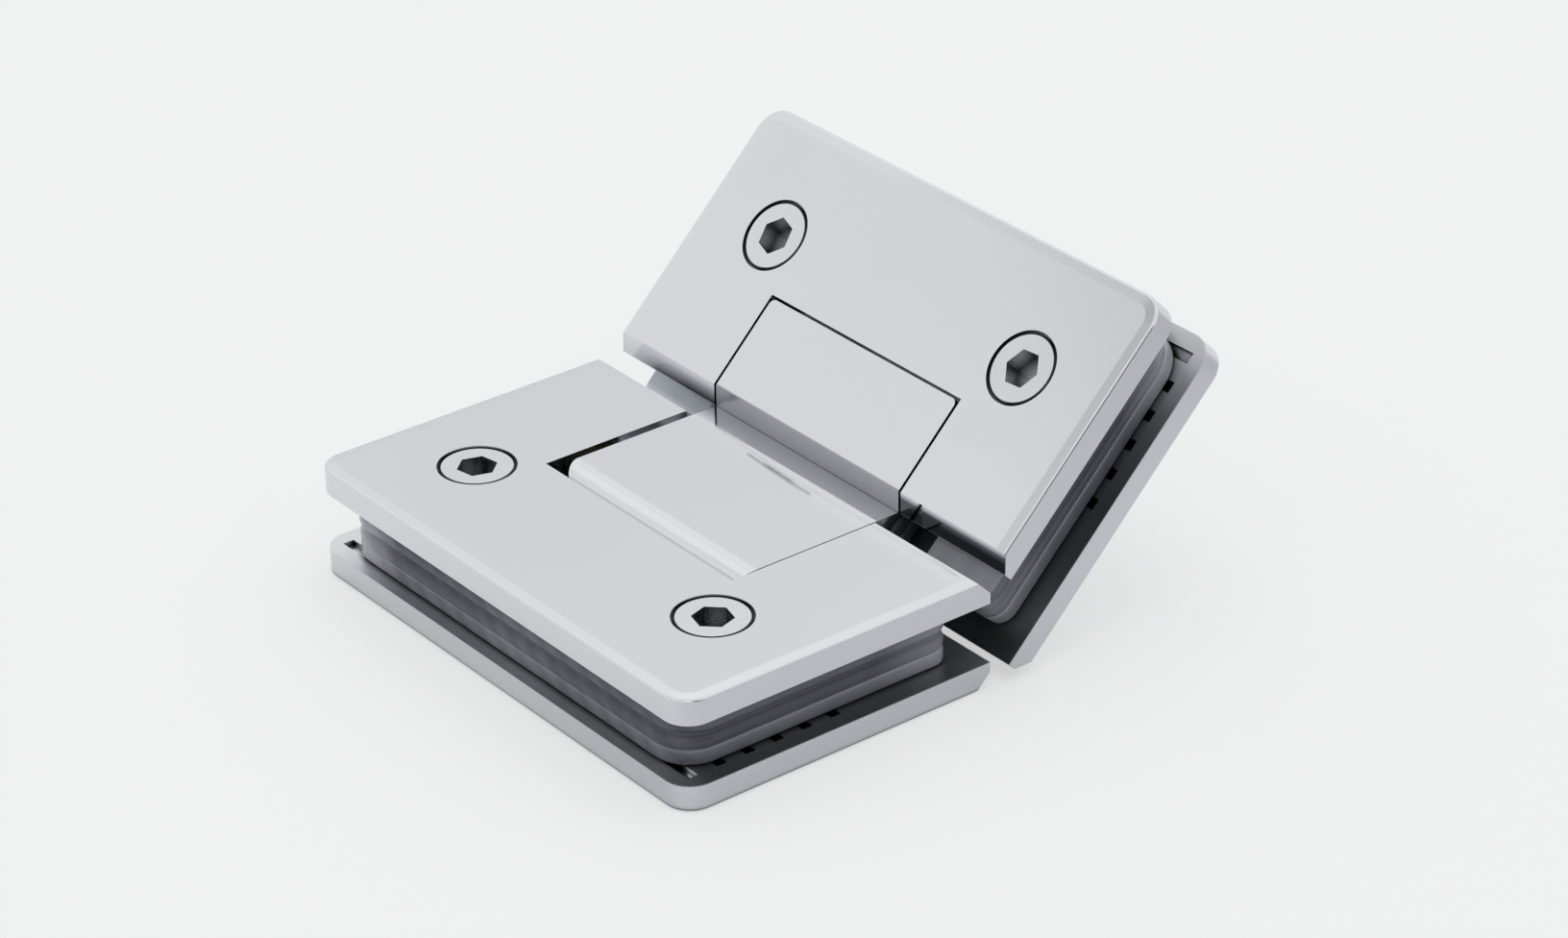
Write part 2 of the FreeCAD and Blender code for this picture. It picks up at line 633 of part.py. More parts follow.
def hinge_body():
    body = new_body("hinge_body")
    profile = new_sketch(body, "hinge_body_profile", "YZ_Plane")
    draw_outline(profile, [
        (BLOCK_END, "0"), (BEND_Y, "0"), leaf_point(TONGUE_END, "0"),
        leaf_point(TONGUE_END, BLOCK_THICKNESS), leaf_point(FACE_START, BLOCK_THICKNESS),
        ("0", BLOCK_THICKNESS), (BLOCK_END, BLOCK_THICKNESS)])
    pad(body, profile, "2 * " + BLOCK_HALF, both_ways=True)
    box = body.Tip.Shape.BoundBox

    def on_block_end(edge):
        return near(middle(edge).y, box.YMin)

    def on_tongue_corner(edge):
        way = edge.tangentAt(edge.FirstParameter)
        return middle(edge).z > box.ZMax / 2 and abs(way.x) < NEAR_ZERO and way.y * way.z < -NEAR_ZERO

    def on_bend(edge):
        return near(middle(edge).z, 0) and middle(edge).y > 0 and near(middle(edge).x, 0)

    dress(body, "Fillet", on_block_end, S + "block_rounding")
    dress(body, "Fillet", on_tongue_corner, S + "tongue_corner")
    dress(body, "Fillet", on_bend, S + "back_rounding")
    tail = new_sketch(body, "hinge_body_tail", "YZ_Plane")
    root = "(" + TONGUE_END + " - " + S + "tongue_corner)"
    end = "(" + S + "notch_depth + " + S + "tail_length)"
    draw_outline(tail, [leaf_point(root, S + "plate_thickness"), leaf_point(end, S + "plate_thickness"),
                        leaf_point(end, PLATE_TOP), leaf_point(root, PLATE_TOP)])
    pad(body, tail, "2 * " + TAIL_HALF, both_ways=True)
    bore = new_sketch(body, "hinge_body_pin_bore", "YZ_Plane")
    draw_circle(bore, PIN_Y, PIN_Z, "(" + S + "pin_diameter / 2 + " + S + "running_clearance)")
    pocket(body, bore, S + "plate_length", both_ways=True)
    seat = new_sketch(body, "hinge_body_bush_seat", "YZ_Plane", BLOCK_HALF)
    draw_circle(seat, PIN_Y, PIN_Z, S + "bush_diameter / 2")
    mirror(body, pocket(body, seat, "(" + S + "bush_length + " + S + "bush_inset)"))
    channel = new_sketch(body, "hinge_body_channel", "XZ_Plane", "-" + PIN_Y)
    reach = "(" + S + "plunger_diameter / 2 + " + S + "running_clearance)"
    draw_circle(channel, PLUNGER_X, PIN_Z, reach)
    mirror(body, pocket(body, channel, "(" + BEND_Y + " + " + BLOCK_THICKNESS + " - " + PIN_Y + ")"))
    thread = new_sketch(body, "hinge_body_tail_thread", "XY_Plane")
    tilt = FreeCAD.Rotation(V(1, 0, 0), SIZES["fold_angle"])
    thread.AttachmentOffset = FreeCAD.Placement(V(0, 0, 0), tilt)
    y, z = leaf_point("0", "(" + SMALL_TIP + " + " + S + "screw_tip_gap)")
    bind(thread, {"AttachmentOffset.Base.y": y, "AttachmentOffset.Base.z": z,
                  "AttachmentOffset.Rotation.Angle": S + "fold_angle"})
    draw_circle(thread, TAIL_SCREW_X, TAIL_SCREW_OUT,
                S + "small_shank / 2 + " + S + "thread_clearance")
    mirror(body, pocket(body, thread, S + "small_length"))


hinge_body()
BUSH_BORE = "(" + S + "pin_diameter / 2 + " + S + "running_clearance)"
ring("pin_bush_near", "YZ_Plane", BUSH_INNER_END, PIN_Y, PIN_Z, BUSH_BORE, S + "bush_diameter / 2",
     S + "bush_length")
ring("pin_bush_far", "YZ_Plane", "-" + BUSH_FACE, PIN_Y, PIN_Z, BUSH_BORE, S + "bush_diameter / 2",
     S + "bush_length")


# Self-centring detent: a plunger, a coil spring and a grub screw in each channel

def channel_sketch(body, name, x):
    """A sketch whose vertical axis is the axis of one detent channel."""
    sketch = new_sketch(body, name, "XY_Plane", PIN_Z)
    bind(sketch, {"AttachmentOffset.Base.x": x})
    return sketch


def detent(side, x):
    radius = S + "plunger_diameter / 2"
    nose = "(" + S + "spring_diameter / 2 - " + S + "spring_wire - " + S + "spring_clearance)"
    lead = S + "screw_lead"
    plunger = new_body("detent_plunger_" + side)
    profile = channel_sketch(plunger, "plunger_%s_profile" % side, x)
    back = PLUNGER_FACE + " + " + S + "plunger_length"
    draw_outline(profile, [
        ("0", PLUNGER_FACE), (radius + " - " + lead, PLUNGER_FACE), (radius, PLUNGER_FACE + " + " + lead),
        (radius, back), (nose, back), (nose, back + " + " + S + "spring_guide"),
        ("0", back + " + " + S + "spring_guide")])
    turn_profile(plunger, profile)
    spring = new_body("detent_spring_" + side)
    wire = channel_sketch(spring, "spring_%s_wire" % side, x)
    draw_circle(wire, "(" + S + "spring_diameter - " + S + "spring_wire) / 2",
                SPRING_START + " + " + S + "spring_wire / 2", S + "spring_wire / 2")
    coil = spring.newObject("PartDesign::AdditiveHelix", "spring_%s_coil" % side)
    coil.Profile = wire
    coil.ReferenceAxis = (wire, ["V_Axis"])
    coil.Mode = "height-turns-angle"
    coil.Growth = 0
    bind(coil, {"Height": S + "spring_length - " + S + "spring_wire", "Turns": S + "spring_turns"})
    finish(coil)
    grub = new_body("detent_grub_" + side)
    stub = channel_sketch(grub, "grub_%s_profile" % side, x)
    end = GRUB_START + " + " + S + "grub_length"
    guide = GRUB_START + " - " + S + "spring_guide"
    draw_outline(stub, [
        ("0", guide), (nose, guide), (nose, GRUB_START), (radius, GRUB_START),
        (radius, end + " - " + lead), (radius + " - " + lead, end), ("0", end)])
    turn_profile(grub, stub)
    recess = new_sketch(grub, "grub_%s_socket" % side, "XZ_Plane", "-(" + end + ")")
    draw_outline(recess, hexagon(S + "grub_socket", "0", "(" + x + ")", PIN_Z))
    pocket(grub, recess, S + "grub_socket_depth", upward=True)


detent("near", PLUNGER_X)
detent("far", "-" + PLUNGER_X)


# Check and export

doc.recompute()
for item in doc.Objects:
    if "Invalid" in item.State or "Error" in item.State:
        raise RuntimeError(item.Label + ": " + str(item.State))
os.makedirs("parts", exist_ok=True)
for node in nodes:
    shape = node.Shape
    if shape.isNull() or not shape.isValid() or len(shape.Solids) != 1:
        raise RuntimeError(node.Label + " is not one valid solid")
    shape.exportStep("parts/" + node.Label + ".step")
    print(node.Label, round(shape.Volume, 1))
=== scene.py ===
# %% [markdown]
# # A glass door hinge on a pale studio floor
#
# The object is a hinge that joins two panes of glass at 135 degrees. The frame holds its
# pieces at their real size, in metres: two polished leaves with soft pads between their
# plates, a bent body between them, and the pivot inside. This lesson lights it, gives each
# piece its finish and adds the small details that a machinist would leave on it.

# %% Load the frame
import math

import bmesh
import bpy
from mathutils import Matrix, Vector, geometry, noise


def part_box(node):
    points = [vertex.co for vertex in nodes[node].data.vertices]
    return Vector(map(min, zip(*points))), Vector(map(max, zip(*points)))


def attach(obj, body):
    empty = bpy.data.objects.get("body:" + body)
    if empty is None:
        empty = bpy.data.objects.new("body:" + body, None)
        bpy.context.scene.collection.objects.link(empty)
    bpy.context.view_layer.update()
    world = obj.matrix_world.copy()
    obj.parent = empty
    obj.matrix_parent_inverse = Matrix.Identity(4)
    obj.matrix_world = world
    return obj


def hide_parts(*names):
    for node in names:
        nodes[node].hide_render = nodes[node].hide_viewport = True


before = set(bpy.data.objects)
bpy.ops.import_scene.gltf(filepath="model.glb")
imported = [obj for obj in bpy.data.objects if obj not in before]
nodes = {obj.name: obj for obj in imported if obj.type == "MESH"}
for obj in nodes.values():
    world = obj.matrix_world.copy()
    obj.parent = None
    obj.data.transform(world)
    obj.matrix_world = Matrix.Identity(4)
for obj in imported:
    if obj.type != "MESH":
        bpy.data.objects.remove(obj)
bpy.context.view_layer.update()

# %% [markdown]
# ## The camera
#
# The photograph looks down on the near end of the hinge with a long lens, so the leaves
# hardly taper. The camera's place and its three directions come from matching the corners
# of the plates. A camera looks along its own -Z, so its matrix holds right, up and back.

# %% Camera
CAMERA_PLACE = Vector((0.47841, -0.37669, 0.34746))
CAMERA_TARGET = Vector((-0.00137, -0.00298, 0.01662))
CAMERA_ROLL = math.radians(-0.85)
CAMERA_LENS = 107.8

camera_data = bpy.data.cameras.new("photo_camera")
camera_data.lens = CAMERA_LENS
camera_data.clip_start = 0.01
camera = bpy.data.objects.new("photo_camera", camera_data)
bpy.context.scene.collection.objects.link(camera)
looking = (CAMERA_TARGET - CAMERA_PLACE).to_track_quat("-Z", "Y").to_matrix().to_4x4()
roll = Matrix.Rotation(CAMERA_ROLL, 4, "Z")
camera.matrix_world = Matrix.Translation(CAMERA_PLACE) @ looking @ roll
bpy.context.scene.camera = camera
bpy.context.scene.view_settings.view_transform = "Standard"
print("camera", round((CAMERA_TARGET - CAMERA_PLACE).length, 3), "m from the hinge")

# %% [markdown]
# ## Values that vary over a surface
#
# Shader maths reads best as an ordinary expression. A small class wraps one socket and
# turns each operator into a Math node, also when the plain number stands on the left.

# %% A socket with operators
class Field:
    """One socket of a material, for use in expressions."""

    def __init__(self, finish, socket):
        self.finish = finish
        self.socket = socket

    def _math(self, operation, *values):
        names = {index: value for index, value in enumerate(values)}
        return self.finish.add("Math", {"operation": operation}, names)

    def __add__(self, other):
        return self._math("ADD", self, other)

    def __radd__(self, other):
        return self._math("ADD", other, self)

    def __sub__(self, other):
        return self._math("SUBTRACT", self, other)

    def __rsub__(self, other):
        return self._math("SUBTRACT", other, self)

    def __mul__(self, other):
        return self._math("MULTIPLY", self, other)

    def __rmul__(self, other):
        return self._math("MULTIPLY", other, self)

    def __truediv__(self, other):
        return self._math("DIVIDE", self, other)

    def __pow__(self, other):
        return self._math("POWER", self, other)

    def __abs__(self):
        return self._math("ABSOLUTE", self)

    def sine(self):
        return self._math("SINE", self)


# %% [markdown]
# ## One tree of nodes
#
# A material and the world both hold a tree. Any node comes from one method: its settings
# come first, because they can change which sockets it has, and then its values and links.

# %% Nodes
class Nodes:
    """Adds nodes to one tree and joins them."""

    def __init__(self, tree):
        self.tree = tree

    def add(self, kind, settings=None, values=None, out=0):
        """Adds a node, sets it up first, then fills its sockets. Gives back one output."""
        node = self.tree.nodes.new("ShaderNode" + kind)
        for key, value in (settings or {}).items():
            setattr(node, key, value)
        for key, value in (values or {}).items():
            self.plug(node.inputs[key], value)
        return Field(self, node.outputs[out])

    def plug(self, socket, value):
        if isinstance(value, Field):
            self.tree.links.new(value.socket, socket)
        else:
            socket.default_value = value

    def place(self):
        """Place on the piece, in metres. Each piece's origin is the frame's own."""
        return self.add("TexCoord", out="Object")

    def axes(self):
        """The place's three coordinates, each a field of its own."""
        place = self.place()
        return [self.add("SeparateXYZ", {}, {0: place}, out) for out in ("X", "Y", "Z")]

    def noise(self, scale, detail=2.0, vector=None):
        values = {"Vector": vector or self.place(), "Scale": scale, "Detail": detail}
        return self.add("TexNoise", {}, values)

    def span(self, value, low, high, new_low=0.0, new_high=1.0):
        """Maps one range of a value to another, and holds it at both ends."""
        values = {0: value, 1: low, 2: high, 3: new_low, 4: new_high}
        return self.add("MapRange", {"clamp": True}, values)

    def blend(self, factor, one, other):
        """Mixes two colours. Sockets 6 and 7 of a Mix node are its two colours."""
        values = {"Factor": factor, 6: one, 7: other}
        return self.add("Mix", {"data_type": "RGBA"}, values, out=2)


# %% A finish: one material and its nodes
class Finish(Nodes):
    """A Principled material whose even values are set on its own sockets."""

    def __init__(self, name, **values):
        self.material = bpy.data.materials.new(name)
        self.material.use_nodes = True
        super().__init__(self.material.node_tree)
        self.shader = self.tree.nodes["Principled BSDF"]
        for key, value in values.items():
            self.shader.inputs[key.replace("_", " ")].default_value = value

    def set(self, name, value):
        """Fills one socket of the shader with a field."""
        self.plug(self.shader.inputs[name], value)

    def relief(self, height, depth):
        """Bumps the surface by a height field from 0 to 1. Depth is in metres."""
        values = {"Height": height, "Strength": 1.0, "Distance": depth}
        self.set("Normal", self.add("Bump", {}, values))

    def dress(self, *names):
        for name in names:
            slots = nodes[name].data.materials
            slots.clear()
            slots.append(self.material)
        print(self.material.name, "on", len(names), "pieces")


# %% [markdown]
# ## A leaf's own directions
#
# The two leaves are alike, but the fixed one stands at 45 degrees. Finishes and pads are
# easier to describe on a leaf that lies flat, so every place is first turned back about the
# fold. The same turn, done with plain numbers, measures a piece in those directions.

# %% Flat directions
FOLD = math.radians(45)
LEAF_TURN = {"door": Matrix.Identity(4), "fixed": Matrix.Rotation(FOLD, 4, "X")}


def flat_axes(finish, leaf):
    """Along the pin, out from the pin and up through the stack of a leaf, as three fields."""
    flat = LEAF_TURN[leaf].inverted()
    x, y, z = finish.axes()
    return x, y * flat[1][1] + z * flat[1][2], y * flat[2][1] + z * flat[2][2]


def flat_box(name, leaf):
    """Low and high corner of a piece in its leaf's own flat directions."""
    flat = LEAF_TURN[leaf].inverted()
    places = [flat @ vertex.co for vertex in nodes[name].data.vertices]
    return [Vector([pick(place[axis] for place in places) for axis in range(3)])
            for pick in (min, max)]


for leaf in LEAF_TURN:
    low, high = flat_box(leaf + "_back_plate", leaf)
    print(leaf, "back plate, flat, in mm:", [round(side * 1000, 1) for side in high - low])

# %% [markdown]
# ## Polished chrome
#
# The plates and the body are cast or milled brass, ground, buffed and plated. Buffing leaves
# a mirror that waves very slightly, and handling leaves faint smudges. So the colour is even,
# the roughness drifts a little from place to place, and a shallow bump makes the waves.
# No wheel reaches into a gap or a corner, so the plating there stays dull, and painted shade
# darkens its colour. Ambient Occlusion measures how closed in a point is, so it finds them.

# %% Chrome
CHROME = (0.83, 0.84, 0.855, 1.0)
PAINTED_SHADE = (0.035, 0.037, 0.042, 1.0)
WAVE_SCALE = 55.0
WAVE_DEPTH = 0.000012
SMUDGE_SCALE = 70.0
CREVICE = 0.0014
POLISH_ROUGH = 0.05
SMUDGE_ROUGH = 0.10
CREVICE_ROUGH = 0.25


def openness(finish, reach):
    """How open a point is, from 0 in a crevice to 1 on a free face. Reach is in metres."""
    return finish.add("AmbientOcclusion", {"samples": 8}, {"Distance": reach}, out="AO")


def out_of_shade(finish, reach=CREVICE):
    """1 on open faces, 0 in gaps about as narrow as the reach, where shade is painted."""
    return finish.span(openness(finish, reach), 0.30, 0.88)


def chrome(finish, unshaded, colour=CHROME, satin=0.0):
    """Waved chrome, painted shade and more roughness where the mask is low, rougher where satin."""
    smudges = finish.span(finish.noise(SMUDGE_SCALE, 5.0), 0.48, 0.72)
    rough = smudges * SMUDGE_ROUGH + POLISH_ROUGH + (1 - unshaded) * CREVICE_ROUGH
    # Painted shade: in gaps, corners and sockets the colour darkens to near black.
    finish.set("Base Color", finish.blend(unshaded, PAINTED_SHADE, colour))
    finish.set("Roughness", rough + satin)
    finish.relief(finish.noise(WAVE_SCALE, 1.0), WAVE_DEPTH)
    return finish


polished = Finish("polished_chrome", Metallic=1.0)
chrome(polished, out_of_shade(polished)).dress("door_front_plate")

# %% [markdown]
# ## The chamfers over the valley
#
# Where the leaves meet, both sides of the fold end in a narrow upright chamfer. On the plate it
# lies in the shade of the fold, and its far corner catches light again: a darker colour, blended
# in by height, paints that shade on it, and the far corner is painted light again. A mask finds
# the chamfer by its place: it is the plane where y is 0, above the valley.

# %% The plate's shaded chamfer
VALLEY_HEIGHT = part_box("door_front_plate")[1].z
CHAMFER_HEIGHT = 0.0035
SKIN = 0.0001
SHADED = (0.11, 0.115, 0.125, 1.0)
FAR_SHADE = (0.13, 0.135, 0.145, 1.0)
NOTCH_EDGE = 0.022
FADE_FAR, FADE_NEAR = 0.0032, 0.0010
LIT_FROM, LIT_TO, LIT_SHARE = -0.036, -0.043, 0.8


def on_chamfer(finish, y, z):
    """1 on the upright chamfer over the valley, where y is 0, and 0 elsewhere."""
    return finish.span(abs(y), 2 * SKIN, SKIN) * finish.span(z, VALLEY_HEIGHT, VALLEY_HEIGHT + SKIN)


shaded = Finish("chrome_with_shaded_chamfer", Metallic=1.0)
x, y, z = shaded.axes()
fade = shaded.span(x, -NOTCH_EDGE, NOTCH_EDGE, FADE_FAR, FADE_NEAR)
depth = shaded.span((VALLEY_HEIGHT + CHAMFER_HEIGHT - z) / fade, 0.0, 1.0)
# Painted shade on the chamfer, fading in from its top edge, and painted light back towards chrome
# at the far corner.
lit = shaded.span(x, LIT_FROM, LIT_TO, 0.0, LIT_SHARE)
shade = shaded.blend(shaded.span(x, -NOTCH_EDGE, NOTCH_EDGE), FAR_SHADE, SHADED)
chamfer_shade = on_chamfer(shaded, y, z) * depth * (1 - lit)
chrome(shaded, out_of_shade(shaded), shaded.blend(chamfer_shade, CHROME, shade)).dress("fixed_front_plate")

# %% [markdown]
# ## The body's ground chamfer
#
# On the body the same chamfer is left as it was ground, so it is satin, and painted shade makes
# it grey, greyer towards the crease. The crease itself is only a fine line, so the body's painted
# shade in crevices has a short reach. Its two sides stand in narrow gaps, and there the longer
# reach of the plates is used.

# %% The body
CHAMFER_SHADE_LOW = (0.30, 0.31, 0.325, 1.0)
CHAMFER_SHADE_HIGH = (0.44, 0.45, 0.465, 1.0)
GROUND_ROUGH = 0.22
CREASE = 0.0003

ground = Finish("chrome_with_shaded_ground_chamfer", Metallic=1.0)
x, y, z = ground.axes()
low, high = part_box("hinge_body")
half = (high.x - low.x) / 2
side = ground.span(abs(x - (low.x + high.x) / 2), half - 2 * SKIN, half - SKIN)
unshaded = out_of_shade(ground, CREASE) * (1 - side) + out_of_shade(ground) * side
there = on_chamfer(ground, y, z)
# Painted shade on the chamfer: grey all over, and greyer down towards the crease.
height = ground.span(z, VALLEY_HEIGHT, VALLEY_HEIGHT + CHAMFER_HEIGHT)
tone = ground.blend(there, CHROME, ground.blend(height, CHAMFER_SHADE_LOW, CHAMFER_SHADE_HIGH))
chrome(ground, unshaded, tone, there * GROUND_ROUGH).dress("hinge_body")

# %% [markdown]
# ## The inner faces of the back plates
#
# Only the outside of a back plate is buffed. Its inner face, which carries the pads, stays
# dull, so it gets more roughness all over. It mirrors the dark pads, and the deeper it lies under
# them the darker it looks, so that dark reflection is painted into its colour: a darker tone that
# comes in from the open corner, lighter again near the outer and hinge edges of the door leaf.

# %% Back plates
SHADE_DEEP = (0.23, 0.235, 0.245, 1.0)
SHADE_SHALLOW = (0.72, 0.73, 0.75, 1.0)
DULL_ROUGH = 0.3
EDGE_SHARE = 0.6


def back_chrome(leaf, reach=CREVICE):
    finish = Finish(leaf + "_back_chrome", Metallic=1.0)
    along, out, level = flat_axes(finish, leaf)
    low, high = flat_box(leaf + "_back_plate", leaf)
    inner_level = flat_box(leaf + "_back_gasket", leaf)[0].z
    inside = finish.span(abs(level - inner_level), 2 * SKIN, SKIN)
    if leaf == "door":
        covered = finish.span(along, low.x + 0.004, low.x + 0.010)
        outer_edge = finish.span(out, low.y + 0.006, low.y + 0.002)
        hinge_edge = finish.span(out, high.y - 0.014, high.y)
        deep = finish.span(along, low.x, high.x) * (1 - (outer_edge + hinge_edge) * EDGE_SHARE)
    else:
        covered = finish.span(out, high.y - 0.005, high.y - 0.012)
        deep = finish.span(out, high.y, high.y - 0.028)
    # Painted reflection and shade: the covered inner face darkens the deeper it lies under the
    # pads.
    inner_shade = finish.blend(deep, SHADE_SHALLOW, SHADE_DEEP)
    colour = finish.blend(inside * covered, CHROME, inner_shade)
    chrome(finish, out_of_shade(finish, reach), colour, inside * DULL_ROUGH)
    finish.dress(leaf + "_back_plate")


back_chrome("door")
back_chrome("fixed", 0.003)

# %% [markdown]
# ## Screws
#
# A socket screw is turned, so its face carries fine rings about its own axis. Each screw's
# axis is known from its box, and the distance from it makes the rings. Its six-sided socket
# is pressed in, and is dark below the rim because little light finds its way back out; that
# shade is painted into its colour. A cover screw has a small bevel round its head, and on one
# side of the head a fine dark line of painted shade lies on the bevel.

# %% Turned finish
RING_PITCH = 0.00022
RING_DEPTH = 0.000004
SOCKET_REACH = 0.0045
BEVEL = 0.00032
BEVEL_BLUR = 0.00008
SHADED_SIDE = {"door": (0.79, -0.62), "fixed": (1.0, -0.05)}


def shaded_bevel(finish, name, leaf):
    """1 on one side of a screw head's bevel, where shade is painted, from the distance to its axis.
    """
    low, high = flat_box(name, leaf)
    radius = (high.x - low.x) / 2
    along, out, level = flat_axes(finish, leaf)
    along, out = along - (low.x + high.x) / 2, out - (low.y + high.y) / 2
    from_axis = (along * along + out * out) ** 0.5
    shade_x, shade_y = SHADED_SIDE[leaf]
    shaded_half = finish.span(along * (shade_x / radius) + out * (shade_y / radius), -0.3, 0.3)
    return finish.span(from_axis, radius - BEVEL - BEVEL_BLUR, radius - BEVEL) * shaded_half


def screw_finish(name):
    finish = Finish(name + "_turned", Metallic=1.0)
    low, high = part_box(name)
    values = {0: finish.place(), 1: (low + high) / 2}
    offset = finish.add("VectorMath", {"operation": "SUBTRACT"}, values)
    radius = finish.add("VectorMath", {"operation": "LENGTH"}, {0: offset}, out="Value")
    rings = (radius * (2 * math.pi / RING_PITCH)).sine()
    finish.relief(rings * 0.5 + 0.5, RING_DEPTH)
    # Painted shade in the socket below the rim, and a painted dark line on one side of the bevel.
    unshaded = finish.span(openness(finish, SOCKET_REACH), 0.25, 0.83)
    leaf = name.split("_")[0]
    if leaf in SHADED_SIDE:
        unshaded = unshaded * (1 - shaded_bevel(finish, name, leaf))
    finish.set("Base Color", finish.blend(unshaded, PAINTED_SHADE, CHROME))
    smudges = finish.span(finish.noise(SMUDGE_SCALE * 2, 4.0), 0.45, 0.7)
    finish.set("Roughness", smudges * 0.1 + 0.12)
    finish.dress(name)


SIDES = ("near", "far")
for side in SIDES:
    for kind in ("door_screw_", "fixed_screw_", "pin_block_screw_", "tail_screw_"):
        screw_finish(kind + side)

# %% [markdown]
# ## Pads
#
# Four clear soft pads fill the gap of each leaf, where the glass goes. The frame's solids have
# their exact outline, but a pad that is squeezed between two plates bulges at its rim and
# waves a little along it. So each pad is made again: a level plane cuts its solid at mid
# height, and the loops of that cut are swept with a soft rim profile. Short steps along the
# loop leave room for the waves.

# %% The outline of a pad
LAYERS = ("back_gasket", "back_spacer", "front_spacer", "front_gasket")
LOOP_STEP = 0.0008


def cut_loops(name, turn):
    """Closed loops at a solid's mid height, in its leaf's flat directions, the longest first."""
    solid = bmesh.new()
    solid.from_mesh(nodes[name].data)
    solid.transform(turn.inverted())
    bmesh.ops.remove_doubles(solid, verts=solid.verts, dist=1e-6)
    heights = [vertex.co.z for vertex in solid.verts]
    low, high = min(heights), max(heights)
    everything = solid.verts[:] + solid.edges[:] + solid.faces[:]
    bmesh.ops.bisect_plane(solid, geom=everything, plane_co=(0, 0, (low + high) / 2),
                           plane_no=(0, 0, 1), clear_inner=True, clear_outer=True)
    bmesh.ops.remove_doubles(solid, verts=solid.verts, dist=1e-5)
    unused = set(solid.verts)
    loops = []
    while unused:
        vertex = unused.pop()
        loop = [vertex.co.to_2d()]
        while vertex:
            ahead = [edge.other_vert(vertex) for edge in vertex.link_edges]
            vertex = next((other for other in ahead if other in unused), None)
            if vertex:
                unused.discard(vertex)
                loop.append(vertex.co.to_2d())
        loops.append(loop)
    solid.free()
    loops.sort(key=perimeter, reverse=True)
    return loops, low, high


def perimeter(loop):
    return sum((loop[index] - loop[index - 1]).length for index in range(len(loop)))


def stepped(loop):
    """The same loop, anticlockwise, with long straight runs cut into short steps."""
    area = sum(loop[index - 1].cross(loop[index]) for index in range(len(loop)))
    loop = loop if area > 0 else loop[::-1]
    points = []
    for index in range(len(loop)):
        one, other = loop[index - 1], loop[index]
        count = max(1, math.ceil((other - one).length / LOOP_STEP))
        points.extend(one.lerp(other, step / count) for step in range(count))
    return points


def outward(loop):
    """Direction out of the loop at each of its points."""
    ways = []
    for index in range(len(loop)):
        along = (loop[(index + 1) % len(loop)] - loop[index - 1]).normalized()
        ways.append(Vector((along.y, -along.x)))
    return ways


for leaf, turn in LEAF_TURN.items():
    loops = cut_loops(leaf + "_front_gasket", turn)[0]
    print(leaf, "pad outline", round(perimeter(loops[0]) * 1000), "mm,", len(loops) - 1, "holes")

# %% [markdown]
# ## A soft rim
#
# The rims are rounded, the two that meet in the middle of the stack most of all. The profile
# goes round the lower edge, up the side, where it bulges, and round the upper edge. Noise
# along the loop moves the rim by about a tenth of a millimetre, another way on each layer.

# %% Rim profile and waves
RIM_ROUND = 0.00045
SEAM_ROUND = 0.0011
ROUNDS = {"back_gasket": (RIM_ROUND, RIM_ROUND), "back_spacer": (RIM_ROUND, SEAM_ROUND),
          "front_spacer": (SEAM_ROUND, RIM_ROUND), "front_gasket": (RIM_ROUND, RIM_ROUND)}
BULGE = 0.00012
WAVE_HEIGHT = 0.0001
WAVE_LENGTH = 0.013
WAVE_FLATTEN = 0.3
LAYER_SHIFT = 7.0
PAD_SLACK = 0.00001
ARC_STEPS = 5


def rim_profile(low, high, low_round, high_round):
    """Inset and height of each row, from the lower face round the rim to the upper face."""
    rows = []
    for step in range(ARC_STEPS + 1):
        turn = math.pi / 2 * step / ARC_STEPS
        rows.append((low_round * (1 - math.sin(turn)), low + low_round * (1 - math.cos(turn))))
    for step in range(ARC_STEPS + 1):
        turn = math.pi / 2 * (1 - step / ARC_STEPS)
        rows.append((high_round * (1 - math.sin(turn)), high - high_round * (1 - math.cos(turn))))
    return rows


def wave(point, height, layer):
    """How far the rim moves out at a place, in metres."""
    spot = Vector((point.x, point.y, height * WAVE_FLATTEN)) / WAVE_LENGTH
    return WAVE_HEIGHT * noise.noise(spot + Vector((0, 0, LAYER_SHIFT * layer)))


print("rows of a rim:", len(rim_profile(0.0, 0.0024, RIM_ROUND, SEAM_ROUND)))

# %% [markdown]
# ## From rows to a closed piece
#
# Each row of the profile is one ring of points, and four-sided faces join the rings. The
# screw holes are plain walls. The two flat faces are an outline with holes, which Blender's
# tessellation fills with triangles, and the same triangles serve below and above.

# %% Build a pad's mesh
SHARP_ANGLE = math.radians(50)


def ring_faces(first, count, rows):
    """Four-sided faces between rows of points that each go once round."""
    faces = []
    for row in range(rows - 1):
        for index in range(count):
            ahead = (index + 1) % count
            base = first + row * count
            faces.append((base + index, base + ahead, base + count + ahead, base + count + index))
    return faces


def cap_faces(points, bottoms, tops):
    """Triangles of the lower and upper face. Both are given as loops of point numbers."""
    flat = [[Vector((points[index][0], points[index][1], 0)) for index in loop] for loop in bottoms]
    triangles = geometry.tessellate_polygon(flat)
    return [tuple(numbers[corner] for corner in triangle)
            for numbers in (sum(bottoms, []), sum(tops, [])) for triangle in triangles]


